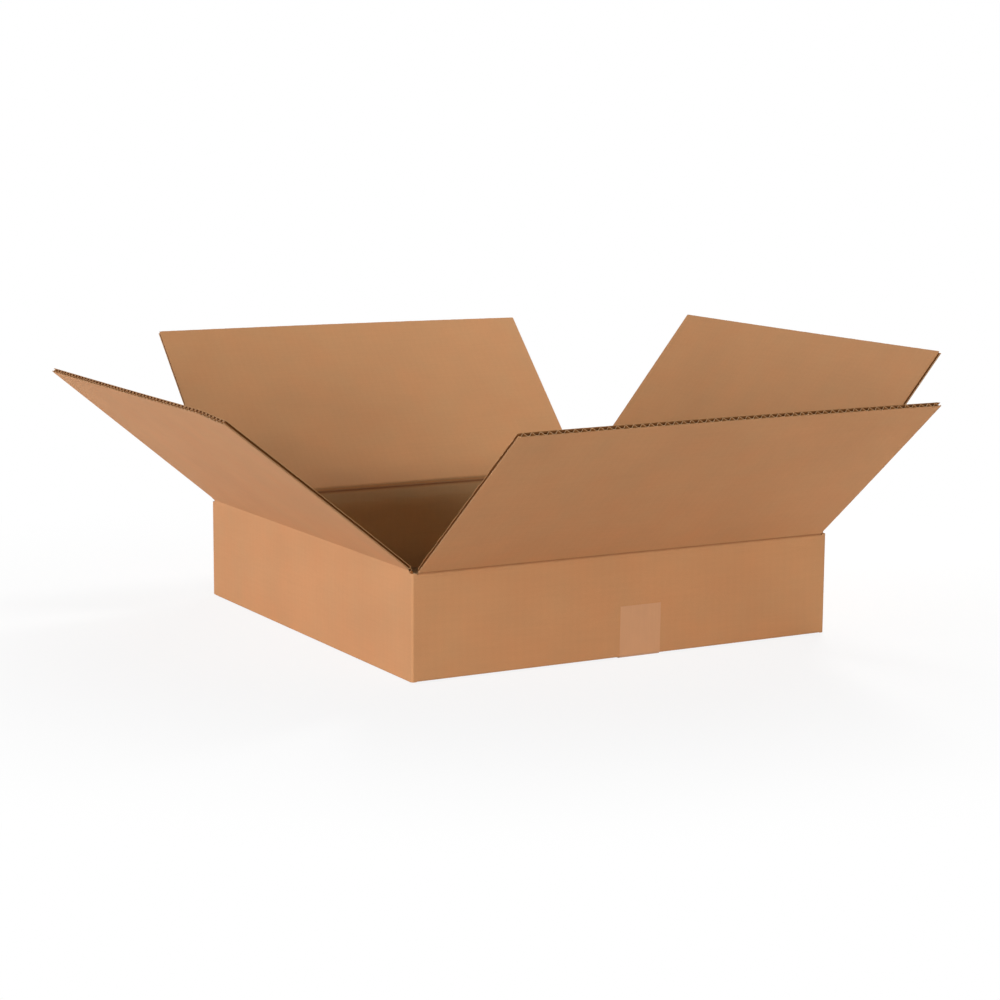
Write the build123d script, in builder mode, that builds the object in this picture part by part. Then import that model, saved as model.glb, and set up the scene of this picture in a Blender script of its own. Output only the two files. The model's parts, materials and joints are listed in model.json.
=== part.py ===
"""Shallow square corrugated carton, open, with its bottom flaps folded in and taped.

All sizes are in millimetres. The origin is on the surface the carton stands on, under the middle of
its base, +Z is up, -Y is the wall that carries the near end of the tape and +X is to its right.
"""

from build123d import *
from math import cos, radians, sin, sqrt, tan
import os

os.makedirs("parts", exist_ok=True)

# Board: two flat liners with a fluted medium between them, flutes running up the walls.
board = 4.8
liner = 0.45
medium = 0.35
flute_pitch = 9.45
flute_flank = 36.0

# Carton: a square of nominal 20 in inside and 4 in deep.
inside = 508.0
inside_depth = 99.6
fold_outer_radius = 2.2
fold_inner_radius = 0.6
flap_side_clear = 1.4
slot_drop = 0.4

# Bottom: the left and right flaps are the outer pair, the front and back flaps the inner pair.
ply_gap = 0.2
heel_rise = 1.0
heel_thick = 3.8
heel_slope = 20.0
bottom_seam_outer = 3.0
bottom_seam_inner = 4.0

# Tape along the bottom seam, run up the front and back walls.
tape_width = 50.8
tape_thick = 0.2
tape_to_right = 15.2
tape_leg = 51.0
tape_clear = 0.05

# Top creases: the board is crushed to a thin waist, and the flap turns on the axis of its root.
waist_radius = 0.6
waist_clear = 0.4
lip_round = 0.5
crush_slope_in = 70.0
crush_slope_out = 50.0
crush_run = 1.0
stack_clear = 0.3
top_seam_inner = 1.0
top_seam_outer = 4.0

# How far each flap stands open, from upright outwards.
open_front = 50.9
open_back = 44.4
open_left = 50.5
open_right = 38.9

# Glued joint at the rear right corner: a tab inside the back wall.
tab_reach = 38.0
tab_taper = 9.0
tab_short = 6.0
glue_gap = 0.3

half = inside / 2 + board
wall_half = inside / 2 - fold_inner_radius
flap_half = wall_half - flap_side_clear

# Heights, from the ground up.
outer_bottom = tape_thick
inner_bottom = outer_bottom + board + ply_gap
floor_top = inner_bottom + board
closed_under = floor_top + inside_depth
heel_low = outer_bottom + heel_rise
slot_low = heel_low

# The front and back flaps turn just under their outer face, so that they close below the others.
inner_axis_depth = waist_radius
crease_inner = closed_under + board - inner_axis_depth
slot_top = crease_inner - slot_drop

# The left and right flaps turn at mid-board and close on top of the inner pair.
outer_axis_depth = board / 2
crease_outer = crease_inner + inner_axis_depth + stack_clear + board - outer_axis_depth

# Lengths from each crease to the cut edge.
flap_inner = half - inner_axis_depth - top_seam_inner / 2
flap_outer = half - outer_axis_depth - top_seam_outer / 2

# Flute mouths, as trapezoids that stand on one liner and then on the other.
half_pitch = flute_pitch / 2
tunnel_height = board - 2 * liner - medium
flank = radians(flute_flank)
tunnel_crown = (half_pitch - (tunnel_height - medium) * tan(flank) - medium / cos(flank)) / 2
tunnel_foot = tunnel_crown + tunnel_height * tan(flank)
inner_mouths = int((flap_half - tunnel_foot - medium) / half_pitch) + 1
outer_mouths = inner_mouths - 1


def crease_sides(axis_depth):
    """The crushed board from its waist to full thickness, on the outer and on the inner face.

    The points are (across, away): inwards from the axis, and away from it along the board.
    """
    start = waist_radius + waist_clear
    outward = start + (axis_depth - waist_radius) * tan(radians(crush_slope_out))
    inward = start + (board - axis_depth - waist_radius) * tan(radians(crush_slope_in))
    outer = [(-waist_radius, start)]
    if axis_depth > waist_radius:
        outer.append((-axis_depth, outward))
    inner = [(waist_radius, start), (board - axis_depth, inward)]
    return outer, inner


def hinge_plane(turn, opening, axis_depth, crease):
    """A flap's own plane: X along the hinge, Y inwards across the board, Z up the open flap."""
    along = Vector(cos(radians(turn)), sin(radians(turn)), 0)
    outwards = Vector(sin(radians(turn)), -cos(radians(turn)), 0)
    up_flap = outwards * sin(radians(opening)) + Vector(0, 0, cos(radians(opening)))
    on_axis = outwards * (half - axis_depth) + Vector(0, 0, crease)
    return Plane(on_axis, x_dir=along, z_dir=up_flap)


def make_flap(plane, axis_depth, length):
    """A top flap on its hinge plane: a crushed root on the axis, then fluted board."""
    outer, inner = crease_sides(axis_depth)
    full = max(outer[-1][1], inner[-1][1]) + crush_run
    with BuildPart() as flap:
        # Crushed root, from the rounded waist up to full board.
        with BuildSketch(Plane(plane.origin, x_dir=plane.y_dir, z_dir=plane.x_dir)):
            with BuildLine():
                Polyline(
                    (-waist_radius, 0),
                    *outer,
                    (-axis_depth, full),
                    (board - axis_depth, full),
                    *reversed(inner),
                    (waist_radius, 0),
                )
                RadiusArc((waist_radius, 0), (-waist_radius, 0), waist_radius)
            make_face()
        extrude(amount=flap_half, both=True)
        # Fluted board, open along the cut edge.
        with BuildSketch(plane.offset(full)):
            with Locations((0, board / 2 - axis_depth)):
                Rectangle(2 * flap_half, board)
                for side, count in ((1, outer_mouths), (-1, inner_mouths)):
                    foot = -side * (board / 2 - liner)
                    crown = foot + side * tunnel_height
                    with GridLocations(flute_pitch, 0, count, 1):
                        Polygon(
                            (-tunnel_foot, foot),
                            (tunnel_foot, foot),
                            (tunnel_crown, crown),
                            (-tunnel_crown, crown),
                            align=None,
                            mode=Mode.SUBTRACT,
                        )
        extrude(amount=length - full)
    return flap


def wall_section(axis_depth, crease, under, seam, fold):
    """A wall with its bottom flap and its crushed rim, in section, outer face at -half.

    fold holds the corners of the bottom fold, in order from the bottom flap to the wall.
    """
    outer, inner = crease_sides(axis_depth)
    rim = [(axis_depth - half + across, crease - away) for across, away in (*reversed(outer), *inner)]
    Polyline(
        (-seam / 2, under),
        *fold,
        *rim,
        (board - half, under + board),
        (-seam / 2, under + board),
        close=True,
    )


def near(sketch, x, y):
    """The sketch's corner at a point."""
    return sketch.vertices().sort_by_distance(Vector(x, y, 0))[0]


front_plane = hinge_plane(0, open_front, inner_axis_depth, crease_inner)
right_plane = hinge_plane(90, open_right, outer_axis_depth, crease_outer)
back_plane = hinge_plane(180, open_back, inner_axis_depth, crease_inner)
left_plane = hinge_plane(270, open_left, outer_axis_depth, crease_outer)
front_flap = make_flap(front_plane, inner_axis_depth, flap_inner)
right_flap = make_flap(right_plane, outer_axis_depth, flap_outer)
back_flap = make_flap(back_plane, inner_axis_depth, flap_inner)
left_flap = make_flap(left_plane, outer_axis_depth, flap_outer)

# One folded sheet: the four walls, the glued tab and the four bottom flaps.
with BuildPart() as box_body:
    # Front and back walls with the inner pair of bottom flaps.
    with BuildSketch(Plane.YZ) as inner_pair:
        # Their folds hang below the flaps, in front of the outer pair's side edges, as a heel.
        heel_lean = (inner_bottom - heel_low) * tan(radians(heel_slope))
        heel = [
            (heel_thick - half + heel_lean, inner_bottom),
            (heel_thick - half, heel_low),
            (-half, heel_low),
        ]
        with BuildLine():
            wall_section(inner_axis_depth, crease_inner, inner_bottom, bottom_seam_inner, heel)
        make_face()
        fillet(near(inner_pair, -half, heel_low), fold_outer_radius)
        fillet(near(inner_pair, board - half, floor_top), fold_inner_radius)
        fillet(near(inner_pair, -half, crease_inner), lip_round)
        mirror(about=Plane.YZ)
    extrude(amount=wall_half, both=True)
    # Left and right walls with the outer pair.
    with BuildSketch(Plane.XZ) as outer_pair:
        with BuildLine():
            corner = [(-half, outer_bottom)]
            wall_section(outer_axis_depth, crease_outer, outer_bottom, bottom_seam_outer, corner)
        make_face()
        fillet(near(outer_pair, -half, outer_bottom), fold_outer_radius)
        fillet(near(outer_pair, board - half, outer_bottom + board), fold_inner_radius)
        mirror(about=Plane.YZ)
    extrude(amount=wall_half, both=True)
    # Rounded upright folds between the corner slots.
    post = half - wall_half
    with BuildSketch(Plane.XY.offset(slot_low)) as posts:
        for x, y in ((-1, -1), (1, -1), (-1, 1)):
            with Locations((x * (half - post / 2), y * (half - post / 2))):
                Rectangle(post, post)
            fillet(near(posts, x * half, y * half), fold_outer_radius)
            with Locations((x * wall_half, y * wall_half)):
                Circle(fold_inner_radius, mode=Mode.SUBTRACT)
        # The back wall's raw end, and the right wall up to its tab fold.
        with Locations((half - post / 2, half - board / 2)):
            Rectangle(post, board)
        tab_face = half - board - glue_gap
        with Locations((half - board / 2, (wall_half + tab_face) / 2)):
            Rectangle(board, tab_face - wall_half)
    extrude(amount=slot_top - slot_low)
    # Tab, tapered towards its free edge, and the rounded fold it turns on.
    with BuildSketch(Plane.XZ.offset(-tab_face)):
        low, high = floor_top + tab_short, closed_under - tab_short
        root = half - board / 2
        with BuildLine():
            Polyline(
                (root, low),
                (half - tab_reach, low + tab_taper),
                (half - tab_reach, high - tab_taper),
                (root, high),
                close=True,
            )
        make_face()
    extrude(amount=board)
    with BuildSketch(Plane.XY.offset(slot_low)):
        with Locations((half - fold_outer_radius / 2, tab_face - fold_outer_radius / 2)):
            Rectangle(fold_outer_radius, fold_outer_radius)
        with Locations((half - fold_outer_radius, tab_face - fold_outer_radius)):
            Circle(fold_outer_radius, mode=Mode.SUBTRACT)
    extrude(amount=slot_top - slot_low, mode=Mode.SUBTRACT)

# One strip of tape under the bottom seam, turned up round both heels onto the walls.
with BuildPart() as bottom_tape:
    with BuildSketch(Plane.YZ.offset(tape_to_right - tape_width / 2)):
        # Mitred at its two half-square bends, so that the strip has one thickness.
        turn = fold_outer_radius * (2 - sqrt(2)) + heel_rise - tape_clear
        mitre = tape_thick * tan(radians(22.5))
        top = inner_bottom + tape_leg
        with BuildLine():
            Polyline(
                (0, outer_bottom),
                (turn - half, outer_bottom),
                (-half, outer_bottom + turn),
                (-half, top),
                (-half - tape_thick, top),
                (-half - tape_thick, outer_bottom + turn - mitre),
                (turn - half - mitre, 0),
                (0, 0),
                close=True,
            )
        make_face()
        mirror(about=Plane.YZ)
    extrude(amount=tape_width)

box_body.part.label = "box_body"
front_flap.part.label = "front_flap"
back_flap.part.label = "back_flap"
left_flap.part.label = "left_flap"
right_flap.part.label = "right_flap"
bottom_tape.part.label = "bottom_tape"

export_step(box_body.part, "parts/box_body.step")
export_step(front_flap.part, "parts/front_flap.step")
export_step(back_flap.part, "parts/back_flap.step")
export_step(left_flap.part, "parts/left_flap.step")
export_step(right_flap.part, "parts/right_flap.step")
export_step(bottom_tape.part, "parts/bottom_tape.step")
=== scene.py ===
"""Open shallow corrugated carton with its four top flaps spread, made of the papers it is glued from.

Lengths are in millimetres until a mesh is made, where they become metres. Every side of the carton
uses the same places: "run" goes along its crease, "out" goes away from the middle of the carton and
"up" is the height. On the board itself, "across" is 0 on the crease axis and grows towards the inside
of the carton, and "away" is the distance from the crease.
"""

import json
import math

import bpy
import numpy as np
from mathutils import Matrix, Vector


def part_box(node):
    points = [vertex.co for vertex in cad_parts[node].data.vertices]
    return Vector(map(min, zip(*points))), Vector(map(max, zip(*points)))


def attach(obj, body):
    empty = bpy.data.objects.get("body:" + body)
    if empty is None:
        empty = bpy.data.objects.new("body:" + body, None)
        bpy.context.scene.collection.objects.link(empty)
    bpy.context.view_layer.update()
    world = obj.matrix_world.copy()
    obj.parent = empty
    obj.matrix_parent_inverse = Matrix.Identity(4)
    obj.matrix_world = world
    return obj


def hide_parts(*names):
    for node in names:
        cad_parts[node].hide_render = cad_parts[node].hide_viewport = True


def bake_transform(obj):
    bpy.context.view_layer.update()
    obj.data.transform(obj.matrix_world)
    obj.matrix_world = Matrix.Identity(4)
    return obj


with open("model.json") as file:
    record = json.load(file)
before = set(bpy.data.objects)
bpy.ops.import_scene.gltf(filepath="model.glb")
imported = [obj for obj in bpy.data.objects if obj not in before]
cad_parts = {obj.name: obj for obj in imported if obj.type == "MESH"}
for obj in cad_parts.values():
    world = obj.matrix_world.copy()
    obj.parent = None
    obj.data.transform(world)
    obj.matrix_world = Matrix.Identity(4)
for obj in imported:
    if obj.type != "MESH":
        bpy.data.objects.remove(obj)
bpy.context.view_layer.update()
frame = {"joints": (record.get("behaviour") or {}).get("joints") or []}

TO_METRES = 0.001
TO_MM = 1000

# Board: two flat liners and a fluted medium, which is drawn thicker than real paper so that its cut
# edge shows. SOLID_HALF is half the thickness of the three papers pressed flat on each other. The
# liners sink between the flute tips by twice WASHBOARD.
BOARD = 4.8
LINER = 0.45
MEDIUM = 0.48
SOLID_HALF = LINER + MEDIUM / 2
FLUTE_PITCH = 9.45
WASHBOARD = 0.022
WAVE_LEAN = 1.5

# Points along the run to each flute: on liners and walls, on crease strips and on the medium's wave.
LINER_POINTS = 4
STRIP_POINTS = 3
WAVE_POINTS = 10

# Knife-cut sides: the blade takes EDGE_CRUSH of the room between the papers, over about EDGE_REACH,
# and points lie EDGE_STEP apart there. A liner's wandering side moves the points within TORN_REACH or so.
EDGE_CRUSH = 0.22
EDGE_REACH = 2.2
EDGE_STEP = 0.55
TORN_REACH = 1.2

# Free edges: how far the liners' and the medium's wander, and how far the medium lies behind the
# liners. Then how far it stops short of their sides.
LINER_WANDER = 0.12
MEDIUM_WANDER = 0.15
MEDIUM_BEHIND = 0.2
MEDIUM_SHORT = 0.1

# Creases: each face is pinched to WAIST from the axis. From CRUSH_START on it comes back to full board,
# over its own rise times one of the three runs, and all faces are back by CRUSHED. Walls and flaps
# begin HINGE_FREE from the crease, and a strip of each liner crosses it.
WAIST = 0.6
CRUSH_START = 1.0
WALL_RUN_IN = 4.2
FLAP_RUN_IN = 0.75
RUN_OUT = 1.19
HINGE_FREE = 1.6
CRUSHED = 17.0
CRUSHED_ROWS = 12

# Strips across the creases: their thickness, how far they stand proud of the faces, and how far and
# over what length their ends dip under them. Then how far from the crease the outer and the inner
# strip reach, and a distance from it, for the outer one, whose places nothing uses.
STRIP = 0.34
PROUD = 0.03
DIP = 0.3
DIP_OVER = 1.2
OUTER_STRIP = 6.0
INNER_STRIP = 4.0
OUTER_BEND = 2.4

# Folds of the body, with their outer and inner rounding. CORNER and TAIL are measured in from the outer
# face: to the walls' upright ends, and to where the bottom flaps begin. UNDER_INNER and UNDER_OUTER are
# the heights of those flaps' undersides, for the front and back pair and for the left and right pair.
FOLD_OUTER = 2.2
FOLD_INNER = 0.6
CORNER = 5.4
TAIL = 9.0
UNDER_INNER = 5.2
UNDER_OUTER = 0.2

# The front and back folds hang lower than their flaps, as a heel: its height over the ground, its
# thickness, how far it leans back up to the flap, and how far from its edges it is rounded.
HEEL_LOW = 1.2
HEEL_THICK = 3.8
HEEL_LEAN = 1.46
HEEL_ROUND = 0.6

# Cuts of the body: the gaps between the inner and between the outer bottom flaps, the height where the
# corner slots end, and how far the fluted core stops short of the liners there.
SEAM_INNER = 4.0
SEAM_OUTER = 3.0
SLOT_TOP = 113.4
CORE_SUNK = 1.3

# Glued tab: how far it reaches from the corner, how much it tapers above and below, between which
# heights it turns in, and its gap to the back wall.
TAB_REACH = 38.0
TAB_TAPER = 9.0
TAB_LOW = 16.0
TAB_HIGH = 103.6
GLUE_GAP = 0.3

# Tape: its two long edges, its thickness, the length of its legs up the walls, and the size of its turn
# at the heels, where each bend begins and ends TAPE_BEND from its corner.
TAPE_LOW_X = -10.2
TAPE_HIGH_X = 40.6
TAPE = 0.2
TAPE_LEG = 51.0
TAPE_TURN = 2.24
TAPE_BEND = 0.9

# How each side departs from flat sheets. The lifts are inwards, at the flap's free corners at the low
# and the high end of its run, bow is inwards at the middle of its free edge, trim widens each end of
# that edge, stretch lengthens the flap, and bulge is outwards at the middle of the wall.
SHAPES = {
    "front": dict(low_lift=0.0, high_lift=2.6, bow=0.9, trim=-0.8, stretch=0.0, bulge=0.7),
    "right": dict(low_lift=-5.9, high_lift=0.0, bow=-0.8, trim=0.0, stretch=-4.5, bulge=0.5),
    "back": dict(low_lift=0.0, high_lift=1.1, bow=1.1, trim=1.2, stretch=0.0, bulge=-0.5),
    "left": dict(low_lift=0.0, high_lift=0.0, bow=-0.5, trim=0.0, stretch=2.5, bulge=0.6),
}

# The left flap's near corner bends outwards: from where on its run, over what length, and how far.
SOFT_CORNER_START = 170.0
SOFT_CORNER_REACH = 83.0
SOFT_CORNER_DROP = 3.6

# A wall's bulge begins BULGE_FOOT over the ground and ends BULGE_RIM under the crease. It, the dent and
# the flutes' print fade out over FLAT_EASE, and are gone FLAT_FOOT over the bottom flap's underside and
# FLAT_RIM under the crease.
BULGE_FOOT = 20.0
BULGE_RIM = 10.0
FLAT_FOOT = 8.0
FLAT_RIM = 3.0
FLAT_EASE = 10.0

# The front wall's dent: its place on the run and its height, its depth, and how far it spreads each way.
DENT_RUN = 222.0
DENT_UP = 103.0
DENT = 1.0
DENT_LONG = 11.0
DENT_HIGH = 4.5

# Edges that turn by more than this many degrees are drawn sharp.
SHARP_FROM = 38

# Half the carton's width, and half the runs of its walls and of its top flaps.
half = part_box("box_body")[1].x * TO_MM
wall_half = half - CORNER
flap_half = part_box("front_flap")[1].x * TO_MM


def ease(t):
    """Rises from 0 to 1 with level ends: three t squared less two t cubed, held outside 0 to 1."""
    t = np.clip(t, 0, 1)
    return t * t * (3 - 2 * t)


def bell(t):
    """A bell curve: 1 at 0, falling off as the exponential of minus t squared."""
    return np.exp(-(t**2))


def rough(x, seed, longest, shortest, waves=14):
    """An uneven line, mostly between -1 and 1: a sum of sines with wavelengths between the two given."""
    rng = np.random.default_rng(seed)
    lengths = np.geomspace(longest, shortest, waves)
    phases = rng.uniform(0, 2 * math.pi, waves)
    x = np.asarray(x, float)
    return np.sin(2 * math.pi * x[..., None] / lengths + phases).sum(-1) / math.sqrt(2 * waves)


def along(line):
    """Distance along a line of points, from its start."""
    return np.r_[0, np.cumsum(np.linalg.norm(np.diff(line, axis=0), axis=1))]


def offset(line, distance):
    """A line moved sideways, to the left of its heading, by one distance or by one for each point."""
    heading = np.gradient(line, axis=0)
    heading = heading / np.linalg.norm(heading, axis=1)[:, None]
    return line + distance * np.column_stack([-heading[:, 1], heading[:, 0]])


def parabola(start, corner, end, t):
    """Points from start to end on the parabola that a corner pulls towards itself."""
    return (1 - t) ** 2 * start + 2 * t * (1 - t) * corner + t**2 * end


def trace(corners, cut_back, counts, bend_steps=8):
    """A line along corner points: straight parts of the given counts of steps, a parabola at each bend.

    cut_back says how far before each corner its bend begins, and how far after it the bend ends.
    """
    corners = np.asarray(corners, float)
    line, start = [], corners[0]
    for i, count in enumerate(counts):
        end = corners[i + 1]
        heading = (end - corners[i]) / np.linalg.norm(end - corners[i])
        last = i == len(counts) - 1
        stop = end if last else end - heading * cut_back[i]
        line.append(start + (stop - start) * np.linspace(0, 1, count + 1)[:-1, None])
        if last:
            line.append(end[None])
            break
        leaving = (corners[i + 2] - end) / np.linalg.norm(corners[i + 2] - end)
        start = end + leaving * cut_back[i]
        line.append(parabola(stop, end, start, np.linspace(0, 1, bend_steps + 1)[:-1, None]))
    return np.concatenate(line)


def put_mesh(name, points, quads, caps, uv, materials, parts, body, node=None):
    """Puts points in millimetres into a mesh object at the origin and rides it.

    parts gives each face's place in materials.
    """
    mesh = bpy.data.meshes.new(name)
    faces = quads.tolist() + [cap.tolist() for cap in caps]
    mesh.from_pydata((points * TO_METRES).tolist(), [], faces)
    for material in materials:
        mesh.materials.append(material)
    mesh.polygons.foreach_set("material_index", np.asarray(parts, np.int32))
    layer = mesh.uv_layers.new(name="board")
    corner = np.empty(len(mesh.loops), np.int32)
    mesh.loops.foreach_get("vertex_index", corner)
    layer.data.foreach_set("uv", (uv[corner] * TO_METRES).astype(np.float32).ravel())
    mesh.shade_smooth()
    mesh.set_sharp_from_angle(angle=math.radians(SHARP_FROM))
    mesh.validate()
    piece = bpy.data.objects.new(name, mesh)
    bpy.context.scene.collection.objects.link(piece)
    if body:
        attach(piece, body)
    if node:
        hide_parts(node)
    return piece


def outward(points, quads):
    """Turns all faces round if the volume that they close comes out negative."""
    a, b, c, d = (points[quads[:, i]] for i in range(4))
    first = np.einsum("ij,ij->i", a, np.cross(b, c)).sum()
    second = np.einsum("ij,ij->i", a, np.cross(c, d)).sum()
    return quads[:, ::-1] if first + second < 0 else quads


def sheet(name, face, back, uv, materials, body, slot, node=None):
    """A closed thin sheet: a front grid, a back grid of the same size, and a rim round their borders.

    materials are for the front, the back and the rim.
    """
    rows, columns = face.shape[:2]
    count = rows * columns
    index = np.arange(count).reshape(rows, columns)
    square = [index[:-1, :-1], index[:-1, 1:], index[1:, 1:], index[1:, :-1]]
    front = np.stack(square, -1).reshape(-1, 4)
    border = np.concatenate([index[0, :-1], index[:-1, -1], index[-1, :0:-1], index[:0:-1, 0]])
    following = np.roll(border, -1)
    rim = np.stack([following, border, border + count, following + count], -1)
    quads = np.concatenate([front, front[:, ::-1] + count, rim])
    points = np.concatenate([face.reshape(-1, 3), back.reshape(-1, 3)])
    both_uv = np.concatenate([uv.reshape(-1, 2), uv.reshape(-1, 2)])
    parts = [0] * len(front) + [1] * len(front) + [2] * len(rim)
    quads = outward(points, quads)
    return put_mesh(name, points, quads, [], both_uv, materials, parts, body, node)


def column(name, plan, low, high, material, body, slot, node):
    """An upright column: a closed plan outline carried from low to high, capped at both ends."""
    count = len(plan)
    levels = np.linspace(low, high, 9)
    points = np.concatenate([np.column_stack([plan, np.full(count, z)]) for z in levels])
    index = np.arange(len(points)).reshape(len(levels), count)
    beside = np.roll(index, -1, axis=1)
    quads = np.stack([index[:-1], beside[:-1], beside[1:], index[1:]], -1).reshape(-1, 4)
    turned = outward(points, quads)
    caps = [index[0][::-1], index[-1]]
    if turned is not quads:
        caps = [cap[::-1] for cap in caps]
    uv = np.column_stack([np.tile(along(plan), len(levels)), points[:, 2]])
    parts = [0] * (len(turned) + 2)
    return put_mesh(name, points, turned, caps, uv, [material], parts, body, node)


class Side:
    """One side of the carton: its directions, its crease and its flap, read from the frame.

    turn is how far round from the front the side lies, in degrees. seam is the gap between its bottom
    flap and the opposite one, under is that flap's underside, and heel is whether its fold has one.
    """

    def __init__(self, name, turn, seam, under, heel):
        joint = next(j for j in frame["joints"] if j["child"] == name + "_flap")
        turn = math.radians(turn)
        self.name = name
        self.along = np.array([math.cos(turn), math.sin(turn), 0])
        self.outwards = np.array([math.sin(turn), -math.cos(turn), 0])
        axis = np.array(joint["pos_m"]) * TO_MM
        self.axis_out = float(axis @ self.outwards)
        self.depth = half - self.axis_out
        self.crease = axis[2]
        # The joint's low limit lies 90 degrees in from upright, so what is left is the flap's opening.
        self.open = math.radians(-joint["range_deg"][0] - 90)
        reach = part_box(name + "_flap")[1].z * TO_MM - self.crease
        across = (BOARD - self.depth) * math.sin(self.open)
        self.length = (reach - across) / math.cos(self.open)
        self.seam = seam
        self.under = under
        self.heel = heel
        self.shape = SHAPES[name]

    def place(self, run, out, up):
        """World places, in millimetres, of points given along the side, outwards and up."""
        run, out, up = (part[..., None] for part in np.broadcast_arrays(run, out, up))
        return run * self.along + out * self.outwards + up * np.array([0, 0, 1])

    def turned(self, across, away):
        """Out and up from the axis, for points across the open flap's board and away from the crease."""
        out = -across * math.cos(self.open) + away * math.sin(self.open)
        up = across * math.sin(self.open) + away * math.cos(self.open)
        return out, up

    def outer_face(self, away):
        """Across-board place of the outer face: pinched at the waist and eased out to full board."""
        rise = self.depth - WAIST
        return -(WAIST + rise * ease((away - CRUSH_START) / max(rise * RUN_OUT, 1e-6)))

    def inner_face(self, away, run_in):
        """Across-board place of the inner face: pinched at the waist and eased in to full board."""
        rise = BOARD - self.depth - WAIST
        return WAIST + rise * ease((away - CRUSH_START) / (rise * run_in))

    def lift(self, run, away):
        """How far the flap leaves its plane, inwards.

        A twist runs evenly between the two corner lifts and grows with the distance from the crease to
        the power 1.5. A bow is a cosine along the crease, times that distance squared. The left flap's
        near corner also drops, eased in along its run.
        """
        share = away / self.length
        high = (run / flap_half + 1) / 2
        twist = self.shape["low_lift"] * (1 - high) + self.shape["high_lift"] * high
        bow = self.shape["bow"] * np.cos(math.pi * run / (2 * flap_half))
        lifted = share**1.5 * twist + share**2 * bow
        if self.name == "left":
            corner = ease((run - SOFT_CORNER_START) / SOFT_CORNER_REACH)
            lifted = lifted - SOFT_CORNER_DROP * corner * share**1.5
        return lifted

    def on_flap(self, run, across, away):
        """World places of points on the open flap, with its lift, stretch and trim."""
        share = away / self.length
        out, up = self.turned(across + self.lift(run, away), away + self.shape["stretch"] * share)
        wide = run * (1 + self.shape["trim"] * share / flap_half)
        return self.place(wide, self.axis_out + out, self.crease + up)

    def bulge(self, run, up):
        """How far the wall leaves its plane, outwards.

        The bulge is a quartic along the wall, nothing at its ends, times a sine up it. The flutes print
        through as a fine cosine, and the front wall has a small dent, a bell curve both ways, near its
        right end. All of it fades out towards the foot and the rim.
        """
        share = np.clip(run / wall_half, -1, 1)
        height = np.clip((up - BULGE_FOOT) / (self.crease - BULGE_FOOT - BULGE_RIM), 0, 1)
        out = self.shape["bulge"] * (1 - share**2) ** 2 * np.sin(math.pi * height)
        if self.name == "front":
            out = out - DENT * bell((run - DENT_RUN) / DENT_LONG) * bell((up - DENT_UP) / DENT_HIGH)
        out = out + WASHBOARD * np.cos(2 * math.pi * run / FLUTE_PITCH)
        over_foot = ease((up - self.under - FLAT_FOOT) / FLAT_EASE)
        under_rim = ease((self.crease - FLAT_RIM - up) / FLAT_EASE)
        return over_foot * under_rim * out


SIDES = {
    "front": Side("front", 0, SEAM_INNER, UNDER_INNER, True),
    "right": Side("right", 90, SEAM_OUTER, UNDER_OUTER, False),
    "back": Side("back", 180, SEAM_INNER, UNDER_INNER, True),
    "left": Side("left", 270, SEAM_OUTER, UNDER_OUTER, False),
}


def srgb(code):
    """A hex colour as the linear values that Blender works in."""
    value = np.array([int(code[i : i + 2], 16) for i in (1, 3, 5)]) / 255
    linear = np.where(value <= 0.04045, value / 12.92, ((value + 0.055) / 1.055) ** 2.4)
    return (*linear.tolist(), 1.0)


def new_material(name):
    """A material without nodes, and its node tree."""
    material = bpy.data.materials.new(name)
    material.use_nodes = True
    tree = material.node_tree
    tree.nodes.clear()
    return material, tree


def add(tree, kind, values=None, links=None, **settings):
    """Adds a shader node, sets its fields and socket values, and links other nodes' outputs to it."""
    node = tree.nodes.new(kind)
    for key, value in settings.items():
        setattr(node, key, value)
    for key, value in (values or {}).items():
        node.inputs[key].default_value = value
    for key, output in (links or {}).items():
        tree.links.new(output, node.inputs[key])
    return node


def calc(tree, operation, *inputs):
    """A Math node's result. Its inputs are numbers or other nodes' outputs."""
    values = {i: item for i, item in enumerate(inputs) if isinstance(item, (int, float))}
    links = {i: item for i, item in enumerate(inputs) if i not in values}
    return add(tree, "ShaderNodeMath", values, links, operation=operation).outputs[0]


def noise(tree, vector, scale, detail, roughness=0.5):
    """A noise pattern between 0 and 1, which seldom leaves 0.25 to 0.75."""
    values = {"Scale": scale, "Detail": detail, "Roughness": roughness}
    return add(tree, "ShaderNodeTexNoise", values, {"Vector": vector}).outputs["Fac"]


def stretched(tree, vector, scale):
    """Coordinates for a pattern that is finer along one axis than along another."""
    return add(tree, "ShaderNodeMapping", {"Scale": scale}, {"Vector": vector}).outputs["Vector"]


def swung(tree, pattern, middle, swing):
    """A shade: 1 plus the swing times the pattern's distance from its middle."""
    return calc(tree, "MULTIPLY_ADD", pattern, swing, 1.0 - middle * swing)


def mixed_colour(tree, share, first, second):
    """A mix of two colours, each a list of four numbers or another node's output."""
    values, links = {}, {"Factor": share}
    for key, colour in (("A", first), ("B", second)):
        (values if isinstance(colour, tuple) else links)[key] = colour
    return add(tree, "ShaderNodeMix", values, links, data_type="RGBA").outputs["Result"]


def finish_surface(tree, colour, height, bump, roughness, gloss):
    """Ends a material: one roughness and one gloss, with its colour and its fine relief patterned."""
    relief = {"Strength": bump, "Distance": RELIEF}
    normal = add(tree, "ShaderNodeBump", relief, {"Height": height}).outputs["Normal"]
    shader = add(
        tree,
        "ShaderNodeBsdfPrincipled",
        {"Roughness": roughness, "Specular IOR Level": gloss},
        {"Base Color": colour, "Normal": normal},
    )
    add(tree, "ShaderNodeOutputMaterial", links={"Surface": shader.outputs["BSDF"]})


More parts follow.
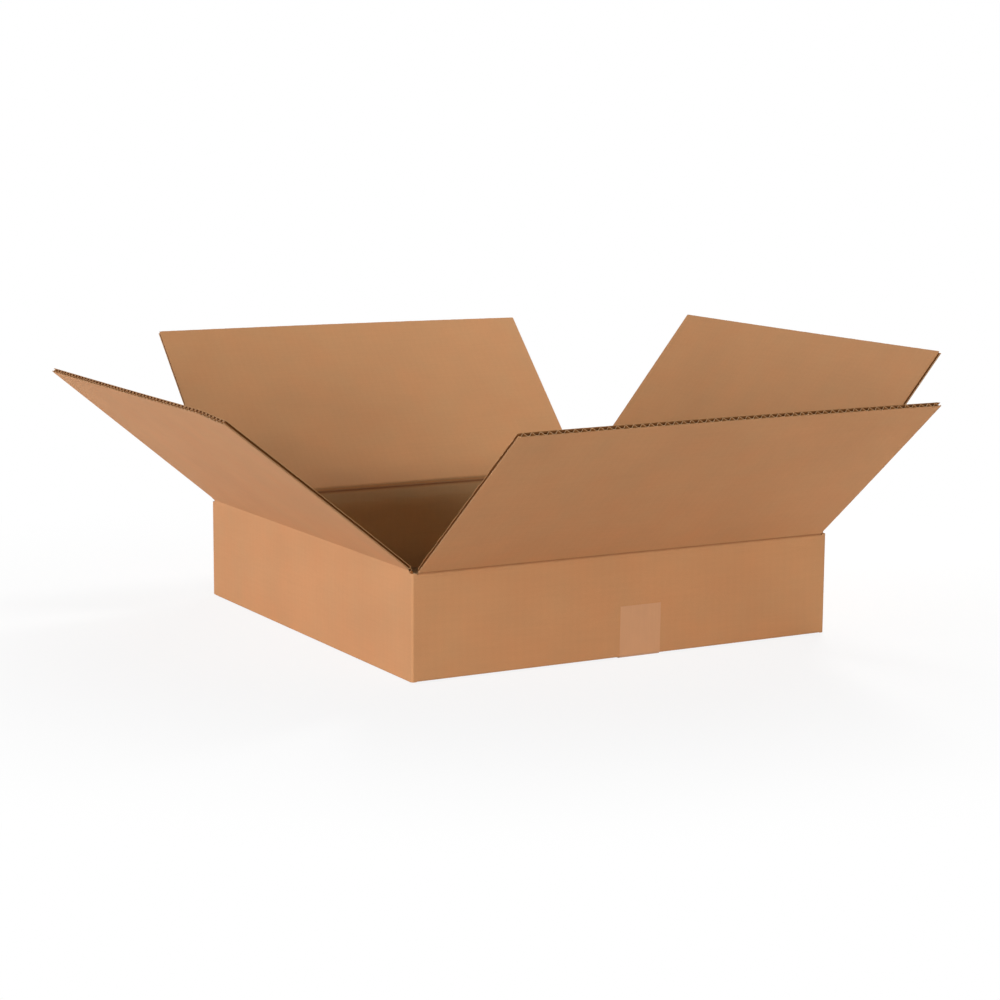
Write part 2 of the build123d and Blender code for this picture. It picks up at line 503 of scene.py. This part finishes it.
# Relief of paper and film, in metres, the swing of single specks, and the tints of pulp batches.
RELIEF = 0.0004
SPECK_SWING = 0.16
REDDER = np.array([1.05, 0.98, 0.95])
GREENER = np.array([0.95, 1.02, 1.05])
# The brown of the painted shade along a crease's fold.
CREASE_SHADE_BROWN = "#6B3A18"
PAPER_ROUGH = 0.86
FILM_ROUGH = 0.42
FILM_GLOSS = 0.45


def paper(
    name, colour, mottle=0.04, streak=0.018, flute_shade=0.005, score=0.0, spread=1.0, bump=0.12, gloss=0.25
):
    """Kraft paper: a base colour with clouds, fibre streaks along the crease, specks and painted flute
    shade.

    mottle, streak and flute_shade are the shares by which clouds, streaks and painted flute shade vary
    it.
    score is the share of a darker brown painted along the middle of a fold as the crease's shade,
    and spread is half that line's width in millimetres.
    """
    material, tree = new_material(name)
    uv = add(tree, "ShaderNodeUVMap", uv_map="board").outputs["UV"]
    place = add(tree, "ShaderNodeTexCoord").outputs["Object"]
    on_board = add(tree, "ShaderNodeSeparateXYZ", links={"Vector": uv}).outputs
    # Clouds 60 to 120 mm across, as pulp settles unevenly on the wire.
    clouds = noise(tree, place, 11.0, 3.0, 0.55)
    # Streaks along the paper's machine direction: about 60 mm long and 3 mm wide.
    streaks = noise(tree, stretched(tree, uv, (16.0, 330.0, 1.0)), 1.0, 4.0, 0.6)
    # Single fibres and specks, drawn about 1 mm across, coarser than real ones, so that they show.
    specks = noise(tree, place, 900.0, 2.0, 0.7)
    # Flute lines: painted shade of the liner sinking between the flute tips, once every pitch.
    per_metre = 2 * math.pi / (FLUTE_PITCH * TO_METRES)
    flutes = calc(tree, "COSINE", calc(tree, "MULTIPLY", on_board["X"], per_metre))
    shade = swung(tree, clouds, 0.5, 4 * mottle)
    finer = ((streaks, 0.5, 4 * streak), (specks, 0.5, SPECK_SWING), (flutes, 0.0, flute_shade))
    for pattern, middle, swing in finer:
        shade = calc(tree, "MULTIPLY", shade, swung(tree, pattern, middle, swing))
    # Patches 20 to 50 mm across lean to red or to green, as batches of recycled pulp do.
    base = np.array(srgb(colour)[:3])
    red, green = ((*(base * tint).tolist(), 1.0) for tint in (REDDER, GREENER))
    hue = mixed_colour(tree, noise(tree, place, 26.0, 2.0), red, green)
    shaded = add(tree, "ShaderNodeVectorMath", links={0: hue, "Scale": shade}, operation="SCALE")
    colour_out = shaded.outputs["Vector"]
    if score:
        # Painted crease shade: a bell curve about the fold, where UV is 0 across it.
        square = calc(tree, "MULTIPLY", on_board["Y"], on_board["Y"])
        fading = calc(tree, "MULTIPLY", square, -1 / (spread * TO_METRES) ** 2)
        painted_crease = calc(tree, "MULTIPLY", calc(tree, "EXPONENT", fading), score)
        colour_out = mixed_colour(tree, painted_crease, colour_out, srgb(CREASE_SHADE_BROWN))
    finish_surface(tree, colour_out, specks, bump, PAPER_ROUGH, gloss)
    return material


def tape_film(name, colour):
    """Carton tape: a thin clear brown film over its own adhesive, smooth, with faint drag lines."""
    material, tree = new_material(name)
    place = add(tree, "ShaderNodeTexCoord").outputs["Object"]
    # Drag lines up the tape's legs, 1.5 mm wide and 40 mm long, and patches of adhesive 15 mm across.
    drag = noise(tree, stretched(tree, place, (700.0, 700.0, 25.0)), 1.0, 3.0)
    patches = noise(tree, place, 60.0, 3.0)
    shade = calc(tree, "MULTIPLY", swung(tree, drag, 0.5, 0.08), swung(tree, patches, 0.5, 0.10))
    tint = add(tree, "ShaderNodeVectorMath", {0: srgb(colour)[:3]}, {"Scale": shade}, operation="SCALE")
    finish_surface(tree, tint.outputs["Vector"], patches, 0.15, FILM_ROUGH, FILM_GLOSS)
    return material


# What is cut across shows blotches and rough fibres in place of streaks and painted flute shade.
CUT_ACROSS = dict(mottle=0.08, streak=0.0, flute_shade=0.0, bump=0.3)

# The smooth outside paper: an even warm brown with a faint lie of fibres.
outer_kraft = paper("kraft_liner_outside_calendered", "#C08B5E")
# The flaps' inner side: a shade darker than the outside.
inner_kraft = paper("kraft_liner_inside_plain", "#BC885A")
# The creases: a brown line of painted shade along the fold, stronger inside than outside.
crease_shaded_kraft = paper("kraft_liner_outside_scored", "#C08B5E", score=0.5, spread=1.5)
crease_shaded_lining = paper("kraft_liner_inside_scored", "#B38B62", score=0.7, spread=1.6)
# The box's inside: greyer and almost without sheen, so that it recedes behind the flaps.
box_lining = paper("kraft_liner_inside_of_box", "#B4926B", gloss=0.04)
# The liners' glued sides and one side of the medium: a darker brown as painted shade in the flutes'
# mouths.
shaded_glued_kraft = paper("kraft_liner_glued_side", "#9C6636", streak=0.04)
# The medium's other side and the boards' cores: the darkest brown, as painted shade between the rest.
shaded_fluting = paper("fluting_medium_pressed", "#8E592A", mottle=0.05)
# The liners' cut edges: two dull lines along a flap's edge.
cut_edge = paper("cut_paper_edge_fibrous", "#AF8256", **CUT_ACROSS)
# The medium's cut edge: the pale zigzag between those lines.
cut_medium = paper("cut_medium_edge_frayed", "#D2A77C", **CUT_ACROSS)
# The tape: paler and smoother than the paper round it.
film = tape_film("carton_tape_film_on_kraft", "#C59268")

# Papers of a sheet's front, back and rim.
LINERS = (outer_kraft, shaded_glued_kraft, cut_edge)
LININGS = (inner_kraft, shaded_glued_kraft, cut_edge)
BOX_LININGS = (box_lining, shaded_glued_kraft, cut_edge)
FLUTES = (shaded_glued_kraft, shaded_fluting, cut_medium)

# Body, material slot and replaced node of what belongs to the box itself.
OF_BOX = ("box", "kraft_board", "box_body")


def spaced(width, step):
    """Places from -width to width: even steps, with finer ones near both ends."""
    fine_zone = EDGE_REACH * 2
    fine = np.arange(0, fine_zone, EDGE_STEP)
    even = np.linspace(-width + fine_zone, width - fine_zone, int(2 * width / step))
    return np.concatenate([-width + fine, even, (width - fine)[::-1]])


def layers(prefix, lay, outer, inner, away, width, body, slot, node, torn, medium_step):
    """Three sheets of one board: outer liner, inner liner and medium, each named after the prefix.

    lay turns (run, across, away) into places, and width is half the board's run. outer and inner give
    the faces' across-board places by distance from the crease. Near the knife-cut sides both faces
    close in on the middle, as a bell curve of the distance from the side. Each liner sinks a little
    between the flute tips, as a cosine along the crease that is eased in with distance from it. torn
    is how far the liners' sides wander, eased in too. The free edges wander in proportion to the sixth
    power of the share of the way to them. The medium is a wave along the crease, a raised cosine to
    the power WAVE_LEAN, so that it stays longer on the outer liner, and its height is the room left
    between the liners. Past the crushed rows it keeps one row in medium_step, as its sides aren't torn.
    """
    middle = (outer(away) + inner(away))[:, None] / 2
    reach = (inner(away) - outer(away))[:, None] / 2
    share = ((away - away[0]) / (away[-1] - away[0]))[:, None]
    slack = np.maximum(reach - SOLID_HALF, 0)

    def half_thick(run):
        return reach - slack * EDGE_CRUSH * bell((width - np.abs(run)) / EDGE_REACH)

    run = spaced(width, FLUTE_PITCH / LINER_POINTS)
    swell = WASHBOARD * ease((away - 2) / 14)[:, None] * np.cos(2 * math.pi * run / FLUTE_PITCH)
    at_side = bell((width - np.abs(run)) / TORN_REACH) * np.sign(run)
    linings = BOX_LININGS if body == "box" else LININGS
    for kind, sign, materials, seed in (("outer_liner", -1, LINERS, 3), ("inner_liner", 1, linings, 5)):
        wander = torn[kind] * rough(away, seed, longest=60, shortest=1.5) * ease((away - 1) / 6)
        wide = run + wander[:, None] * at_side
        uneven = LINER_WANDER * rough(run, seed + 1, longest=40, shortest=1.2)
        long = away[:, None] + share**6 * uneven
        face = middle + sign * half_thick(run) + swell
        grids = [lay(wide, face, long), lay(wide, face - sign * LINER, long)]
        uv = np.stack(np.meshgrid(run, away), -1)
        sheet(f"{prefix}_{kind}", *grids, uv, materials, body, slot, node)
    rows = len(away)
    keep = np.unique(np.r_[: min(CRUSHED_ROWS, rows), CRUSHED_ROWS - 1 : rows : medium_step, rows - 1])
    away, middle, reach, slack, share = (values[keep] for values in (away, middle, reach, slack, share))
    run_end = width - MEDIUM_SHORT
    run = np.linspace(-run_end, run_end, int(2 * width / FLUTE_PITCH * WAVE_POINTS))
    room = np.maximum(half_thick(run) - SOLID_HALF, 0)
    phase = 2 * math.pi * run / FLUTE_PITCH
    raised = np.maximum((1 + np.cos(phase)) / 2, 1e-9)
    centre = middle + room * (2 * raised**WAVE_LEAN - 1)
    slope = -2 * math.pi / FLUTE_PITCH * room * WAVE_LEAN * raised ** (WAVE_LEAN - 1) * np.sin(phase)
    tilt = np.sqrt(1 + slope**2)
    uneven = MEDIUM_WANDER * rough(run, 11, longest=30, shortest=2)
    cut = away[:, None] + share**6 * (uneven - MEDIUM_BEHIND)
    grids = []
    for sign in (-1, 1):
        half_paper = sign * MEDIUM / 2 / tilt
        grids.append(lay(run - slope * half_paper, centre + half_paper, cut))
    uv = np.stack(np.meshgrid(run, away), -1)
    sheet(f"{prefix}_medium", *grids, uv, FLUTES, body, slot, node)


# Distances from the crease, close together over the crushed board and wide apart beyond it.
crushed_rows = np.linspace(HINGE_FREE, CRUSHED, CRUSHED_ROWS)

# The front flap's inner liner is torn along its sides, the other liners are cut cleanly. A torn side
# needs many rows, of which the medium takes one in four.
CLEAN_CUT = {"outer_liner": 0.12, "inner_liner": 0.15}
TORN_CUT = {"outer_liner": 0.15, "inner_liner": 0.8}
CLEAN_ROWS = 13
TORN_ROWS = 60

for side in SIDES.values():
    flap = side.name + "_flap"
    is_torn = side.name == "front"
    free_rows = np.linspace(CRUSHED, side.length, TORN_ROWS if is_torn else CLEAN_ROWS)[1:]
    layers(
        flap,
        side.on_flap,
        side.outer_face,
        lambda away, side=side: side.inner_face(away, FLAP_RUN_IN),
        np.concatenate([crushed_rows, free_rows]),
        flap_half,
        flap,
        "kraft_liner_and_medium",
        flap,
        TORN_CUT if is_torn else CLEAN_CUT,
        4 if is_torn else 1,
    )
    layers(
        side.name + "_bottom_flap",
        lambda run, across, away, side=side: side.place(run, half - away, side.under + across),
        lambda away: np.zeros_like(away),
        lambda away: np.full_like(away, BOARD),
        np.linspace(TAIL, half - side.seam / 2, 5),
        wall_half,
        *OF_BOX,
        CLEAN_CUT,
        1,
    )


def make_wall(side):
    """A wall with its bottom fold, as an outer and an inner profile carried along the side.

    Both profiles come down from the crushed rim and bend under, the front and back walls' round a heel
    that lies in front of the other pair's side edges. The right wall's rear end is rounded off, as a
    quarter circle in plan, where the tab turns in.
    """
    rims = []
    for across in (side.outer_face(crushed_rows), side.inner_face(crushed_rows, WALL_RUN_IN)):
        rims.append(np.column_stack([side.axis_out - across, side.crease - crushed_rows]))
    if side.heel:
        outer_corners = [
            rims[0][-1],
            (half, HEEL_LOW),
            (half - HEEL_THICK, HEEL_LOW),
            (half - HEEL_THICK - HEEL_LEAN, side.under),
            (half - TAIL, side.under),
        ]
        outer_fold = trace(outer_corners, (FOLD_OUTER, HEEL_ROUND, HEEL_ROUND), (14, 1, 1, 2))
    else:
        outer_corners = [rims[0][-1], (half, side.under), (half - TAIL, side.under)]
        outer_fold = trace(outer_corners, (FOLD_OUTER,), (22, 12))
    floor = side.under + BOARD
    inner_corners = [rims[1][-1], (half - BOARD, floor), (half - TAIL, floor)]
    inner_fold = trace(inner_corners, (FOLD_INNER,), (22, 12))
    steps = np.linspace(-wall_half, wall_half, int(2 * wall_half / FLUTE_PITCH * LINER_POINTS))
    grids = []
    for rim, fold in zip(rims, (outer_fold, inner_fold)):
        profile = np.concatenate([rim[:-1], fold])
        out, up = profile[:, :1], profile[:, 1:]
        out = out + side.bulge(steps, up)
        if side.name == "right":
            past = np.maximum(steps - (wall_half + GLUE_GAP - FOLD_OUTER), 0)
            rounded = np.sqrt(np.maximum(FOLD_OUTER**2 - past**2, 0))
            out = np.minimum(out, half - FOLD_OUTER + rounded)
        grids.append(side.place(steps, out, up))
    uv = np.stack(np.meshgrid(steps, along(profile)), -1)
    sheet(side.name + "_wall", *grids, uv, (outer_kraft, box_lining, shaded_fluting), *OF_BOX)


for side in SIDES.values():
    make_wall(side)


def fold_arc(radius, centre, steps=9):
    """Points of a quarter circle in plan, from the +x side round to the +y side."""
    turn = np.linspace(0, math.pi / 2, steps)
    return centre + radius * np.column_stack([np.cos(turn), np.sin(turn)])


def outer_corner(set_in):
    """Plan line of an upright fold's outer side, set in from the outer face: two flats and an arc."""
    arc = fold_arc(FOLD_OUTER - set_in, half - FOLD_OUTER)
    return np.concatenate([[[half - set_in, wall_half]], arc, [[wall_half, half - set_in]]])


# Upright folds: the liners run up to the slot's end and the fluted core stops short of it.
inner_bore = fold_arc(FOLD_INNER, wall_half)[::-1]
lining_bore = fold_arc(FOLD_INNER + LINER, wall_half)
corner_layers = (
    ("outer_liner", [outer_corner(0), outer_corner(LINER)[::-1]], outer_kraft, 0),
    ("inner_liner", [lining_bore, inner_bore], box_lining, 0),
    ("core", [outer_corner(LINER), lining_bore[::-1]], shaded_fluting, CORE_SUNK),
)
for name, sign_x, sign_y in (("front_left", -1, -1), ("front_right", 1, -1), ("rear_left", -1, 1)):
    for layer, lines, material, sunk in corner_layers:
        plan = np.concatenate(lines) * (sign_x, sign_y)
        low, high = HEEL_LOW + sunk, SLOT_TOP - sunk
        column(f"{name}_corner_{layer}", plan, low, high, material, *OF_BOX)

# The back wall's raw end at the glued corner: the liners reach the edge and the core stops short.
for layer, near, far, end, sunk, material in (
    ("outer_liner", half - LINER, half, half, 0, outer_kraft),
    ("inner_liner", half - BOARD, half - BOARD + LINER, half, 0, box_lining),
    ("core", half - BOARD + LINER, half - LINER, half - CORE_SUNK, CORE_SUNK, shaded_fluting),
):
    plan = np.array([(wall_half, near), (end, near), (end, far), (wall_half, far)])
    low, high = HEEL_LOW + sunk, SLOT_TOP - sunk
    column(f"back_wall_raw_end_{layer}", plan, low, high, material, *OF_BOX)

# The glued tab, turned in from the right wall and tapered towards its free edge.
tab_x = half - BOARD - (TAB_REACH - BOARD) * np.linspace(0, 1, 10)
taper = TAB_TAPER * (half - BOARD / 2 - tab_x) / (TAB_REACH - BOARD / 2)
tab_up = TAB_LOW + taper + (TAB_HIGH - TAB_LOW - 2 * taper) * np.linspace(0, 1, 12)[:, None]
tab_face = half - BOARD - GLUE_GAP
tab_grids = [np.stack(np.broadcast_arrays(tab_x, y, tab_up), -1) for y in (tab_face, tab_face - BOARD)]
tab_uv = np.stack(np.broadcast_arrays(tab_x, tab_up), -1)
sheet("glued_tab", *tab_grids, tab_uv, (outer_kraft, box_lining, cut_edge), *OF_BOX)


def dipped(line):
    """How far each point of a strip's section is sunk: by DIP at both ends, eased in over DIP_OVER."""
    gone = along(line)
    from_end = np.minimum(gone, gone[-1] - gone)
    return DIP * (1 - ease(from_end / DIP_OVER))


def make_strip(side, kind, line, middle, thickness, paper_outside, reach):
    """A strip of liner across a crease: a section line, out and up from the axis, carried along it.

    middle is the section's point on the fold, where its UV is 0. The strip is on no body and stays as
    built. reach is how far from the fold a place on the wall and one on the flap are found; nothing uses
    them.
    """
    steps = np.linspace(-flap_half, flap_half, int(2 * flap_half / FLUTE_PITCH * STRIP_POINTS))
    line = offset(line, np.sign(thickness) * dipped(line)[:, None])
    grids = []
    for section in (line, offset(line, thickness)):
        out, up = section[:, :1], section[:, 1:]
        grids.append(side.place(steps, side.axis_out + out, side.crease + up))
    uv = np.stack(np.meshgrid(steps, along(line) - along(line)[middle]), -1)
    papers = (paper_outside, shaded_glued_kraft, cut_edge)
    strip = sheet(f"{side.name}_crease_{kind}", *grids, uv, papers, None, "kraft_liner_and_medium")
    wall_end = side.place(0.0, side.axis_out, side.crease - reach) * TO_METRES
    flap_end = side.on_flap(0.0, 0.0, reach) * TO_METRES
    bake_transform(strip)


# Outside, a groove lies in each crease and a low roll of crushed board under it. Each side has how far
# in the corner lies that pulls its groove, a parabola, and its roll's height. Both are greatest at the
# front crease. The roll is a bell curve, ROLL_AWAY under the crease and ROLL_SPREAD wide each way.
GROOVES = {"front": (1.5, 0.4), "back": (1.0, 0.3), "left": (0.1, 0.1), "right": (0.3, 0.2)}
ROLL_AWAY = 3.0
ROLL_SPREAD = 1.3

# How far from where the open flap's face would meet the wall's the strip's two flat parts end, and how
# far over that place the corner of the groove lies.
WALL_STOPS = 1.4
FLAP_STOPS = 2.0
GROOVE_OVER = 0.2

for side in SIDES.values():
    groove, roll = GROOVES[side.name]
    proud = side.depth + PROUD
    meet = side.depth * math.tan(side.open / 2)
    away = np.linspace(OUTER_STRIP, meet + WALL_STOPS, 12)
    rolled = proud + roll * bell((away - ROLL_AWAY) / ROLL_SPREAD) * ease(OUTER_STRIP - away)
    wall_part = np.column_stack([rolled, -away])
    away = np.linspace(meet + FLAP_STOPS, OUTER_STRIP, 8)
    flap_part = np.column_stack(side.turned(-proud + 0 * away, away))
    valley = np.array([side.depth - groove, GROOVE_OVER - meet])
    bend = parabola(wall_part[-1], valley, flap_part[0], np.linspace(0, 1, 13)[1:-1, None])
    section = np.concatenate([wall_part, bend, flap_part])
    middle = len(wall_part) + len(bend) // 2
    # Every crease but the left one carries the painted crease shade on its outside.
    outside = outer_kraft if side.name == "left" else crease_shaded_kraft
    make_strip(side, "outer_liner", section, middle, STRIP, outside, OUTER_BEND)

    # Inside, the lining follows the crushed slopes round the waist, as an arc.
    away = np.linspace(INNER_STRIP, 0, 9)
    wall_part = np.column_stack([-side.inner_face(away, WALL_RUN_IN) - PROUD, -away])
    away = away[::-1]
    flap_part = np.column_stack(side.turned(side.inner_face(away, FLAP_RUN_IN) + PROUD, away))
    turn = np.linspace(0, side.open, 7)[1:-1]
    waist = (WAIST + PROUD) * np.column_stack([-np.cos(turn), np.sin(turn)])
    section = np.concatenate([wall_part, waist, flap_part])
    middle = len(wall_part) + len(waist) // 2
    make_strip(side, "inner_liner", section, middle, -STRIP, crease_shaded_lining, HINGE_FREE)

# Tape: one strip from the front wall, under both heels, to the back wall. It lies on the walls' bulge.
leg_top = UNDER_INNER + TAPE_LEG
bend_up = TAPE + TAPE_TURN
tape_corners = [
    (-half, leg_top),
    (-half, bend_up),
    (TAPE_TURN - half, TAPE),
    (half - TAPE_TURN, TAPE),
    (half, bend_up),
    (half, leg_top),
]
inner_line = trace(tape_corners, [TAPE_BEND] * 4, (24, 1, 40, 1, 24), 6)
outer_line = offset(inner_line, -TAPE)
outer_line[:, 1] = np.maximum(outer_line[:, 1], 0)
tape_steps = np.linspace(TAPE_LOW_X, TAPE_HIGH_X, 36)
tape_grids = []
for line in (outer_line, inner_line):
    y, z = line[:, :1], line[:, 1:]
    shift = np.where(y < 0, -SIDES["front"].bulge(tape_steps, z), SIDES["back"].bulge(-tape_steps, z))
    tape_grids.append(np.stack(np.broadcast_arrays(tape_steps, y + shift, z), -1))
tape_uv = np.stack(np.meshgrid(tape_steps, along(inner_line)), -1)
films = (film, film, film)
sheet("bottom_tape_strip", *tape_grids, tape_uv, films, "box", "tape_film", "bottom_tape")

# Camera: turned, tipped and rolled in degrees, its focal length as a share of the frame's width, and
# where it sees the middle of the base, in millimetres to its right, downwards and ahead.
CAMERA_YAW = 29.494
CAMERA_PITCH = 9.143
CAMERA_ROLL = -0.372
FOCAL_SHARE = 2.4114
ORIGIN_SEEN = (9.04, 131.29, 2794.93)
SENSOR = 36.0

yaw, pitch, roll = (math.radians(v) for v in (CAMERA_YAW, CAMERA_PITCH, CAMERA_ROLL))
ahead = np.array([math.sin(yaw) * math.cos(pitch), math.cos(yaw) * math.cos(pitch), -math.sin(pitch)])
level_right = np.array([math.cos(yaw), -math.sin(yaw), 0])
level_down = np.cross(ahead, level_right)
camera_right = math.cos(roll) * level_right + math.sin(roll) * level_down
camera_down = math.cos(roll) * level_down - math.sin(roll) * level_right
to_camera = -np.array([camera_right, camera_down, ahead]).T @ np.array(ORIGIN_SEEN) * TO_METRES
camera_data = bpy.data.cameras.new("camera")
camera_data.sensor_width = SENSOR
camera_data.lens = SENSOR * FOCAL_SHARE
camera_data.clip_start = 0.05
camera_data.clip_end = 100.0
camera = bpy.data.objects.new("camera", camera_data)
bpy.context.scene.collection.objects.link(camera)
turned_to = Matrix(np.column_stack([camera_right, -camera_down, -ahead]).tolist()).to_4x4()
camera.matrix_world = Matrix.Translation(to_camera.tolist()) @ turned_to
bpy.context.scene.camera = camera


# Where all lamps point, in metres: the carton's middle, level with its rim.
LAMPS_AIM = Vector((0, 0, 0.12))


def lamp(name, place, size, watts, colour=(1, 1, 1)):
    """A square area lamp at a place in metres, turned towards the carton's middle."""
    data = bpy.data.lights.new(name, "AREA")
    data.shape = "SQUARE"
    data.size = size
    data.energy = watts
    data.color = colour
    item = bpy.data.objects.new(name, data)
    bpy.context.scene.collection.objects.link(item)
    item.location = place
    item.visible_camera = False
    item.rotation_mode = "QUATERNION"
    item.rotation_quaternion = (LAMPS_AIM - Vector(place)).to_track_quat("-Z", "Y")


# Two lamps light the front and left sides from above and two low ones reach under their spread flaps.
# The one over the back flap stands behind that flap's plane, so that none of its light falls on the
# box's floor where the near corner's slot shows it. The rear ones light the far sides. The low left
# lamp is a cooler white than the rest.
COOL = (0.9, 1.0, 1.25)
lamp("lamp_front_over", (-1.0, -6.0, 1.55), 0.45, 110)
lamp("lamp_left_over", (-5.5, -1.0, 2.1), 0.6, 75)
lamp("lamp_left_low", (-2.8, -0.4, 0.45), 1.2, 27, COOL)
lamp("lamp_front_left_low", (-3.0, -3.6, 0.55), 0.7, 52)
lamp("lamp_over_back_flap", (1.0, 0.75, 1.3), 0.4, 20.5)
lamp("lamp_rear_right", (2.2, 2.2, 0.8), 1.5, 60)
lamp("lamp_rear_left", (-2.2, 2.2, 0.8), 1.5, 10)

WHITE = (1, 1, 1, 1)
WORLD_STRENGTH = 0.1

# The floor's pale grey, and in metres how far it reaches each way and its height, just under the tape.
FLOOR_COLOUR = (0.92, 0.92, 0.92, 1)
FLOOR_REACH = 8.0
FLOOR_UP = -0.0004

# The floor's share of plain white is WHITE_NEAR as far as NEAR metres from the carton's middle and
# WHITE_FAR from FAR on, with a smooth step between them.
NEAR = 0.40
FAR = 0.95
WHITE_NEAR = 0.86
WHITE_FAR = 1.0


def seen_by(tree, *rays):
    """1 where one of the given kinds of ray looks, and else 0."""
    outputs = add(tree, "ShaderNodeLightPath").outputs
    seen = outputs[rays[0]]
    for ray in rays[1:]:
        seen = calc(tree, "MAXIMUM", seen, outputs[ray])
    return seen


def mixed_shader(tree, share, first, second):
    """A mix of two nodes' shaders: the first at share 0 and the second at 1."""
    links = {0: share, 1: first.outputs[0], 2: second.outputs[0]}
    return add(tree, "ShaderNodeMixShader", links=links).outputs["Shader"]


# World: a dim even light, and plain white where the camera, a reflection or a clear surface shows it.
world = bpy.data.worlds.new("studio")
bpy.context.scene.world = world
world.use_nodes = True
tree = world.node_tree
tree.nodes.clear()
seen = seen_by(tree, "Is Camera Ray", "Is Glossy Ray", "Is Transmission Ray")
dim = add(tree, "ShaderNodeBackground", {"Color": WHITE, "Strength": WORLD_STRENGTH})
white = add(tree, "ShaderNodeBackground", {"Color": WHITE, "Strength": 1.0})
add(tree, "ShaderNodeOutputWorld", links={"Surface": mixed_shader(tree, seen, dim, white)})

# Floor: pale and matt. Close to the carton it keeps a soft shadow, further out it is plain white. Only
# the camera and reflections see that white, and other rays meet the matt floor.
floor_material, tree = new_material("studio_floor_matt_white")
place = add(tree, "ShaderNodeTexCoord").outputs["Object"]
distance = add(tree, "ShaderNodeVectorMath", links={0: place}, operation="LENGTH").outputs["Value"]
span = {1: NEAR, 2: FAR, 3: WHITE_NEAR, 4: WHITE_FAR}
whiter = add(tree, "ShaderNodeMapRange", span, {0: distance}, interpolation_type="SMOOTHSTEP").outputs[0]
share = calc(tree, "MULTIPLY", whiter, seen_by(tree, "Is Camera Ray", "Is Glossy Ray"))
matt = add(tree, "ShaderNodeBsdfDiffuse", {"Color": FLOOR_COLOUR})
glow = add(tree, "ShaderNodeEmission", {"Color": WHITE, "Strength": 1.0})
add(tree, "ShaderNodeOutputMaterial", links={"Surface": mixed_shader(tree, share, matt, glow)})
corners = [(x * FLOOR_REACH, y * FLOOR_REACH, FLOOR_UP) for x, y in ((-1, -1), (1, -1), (1, 1), (-1, 1))]
mesh = bpy.data.meshes.new("studio_floor")
mesh.from_pydata(corners, [], [(0, 1, 2, 3)])
mesh.materials.append(floor_material)
floor = bpy.data.objects.new("studio_floor", mesh)
bpy.context.scene.collection.objects.link(floor)

bpy.context.scene.view_settings.view_transform = "Standard"
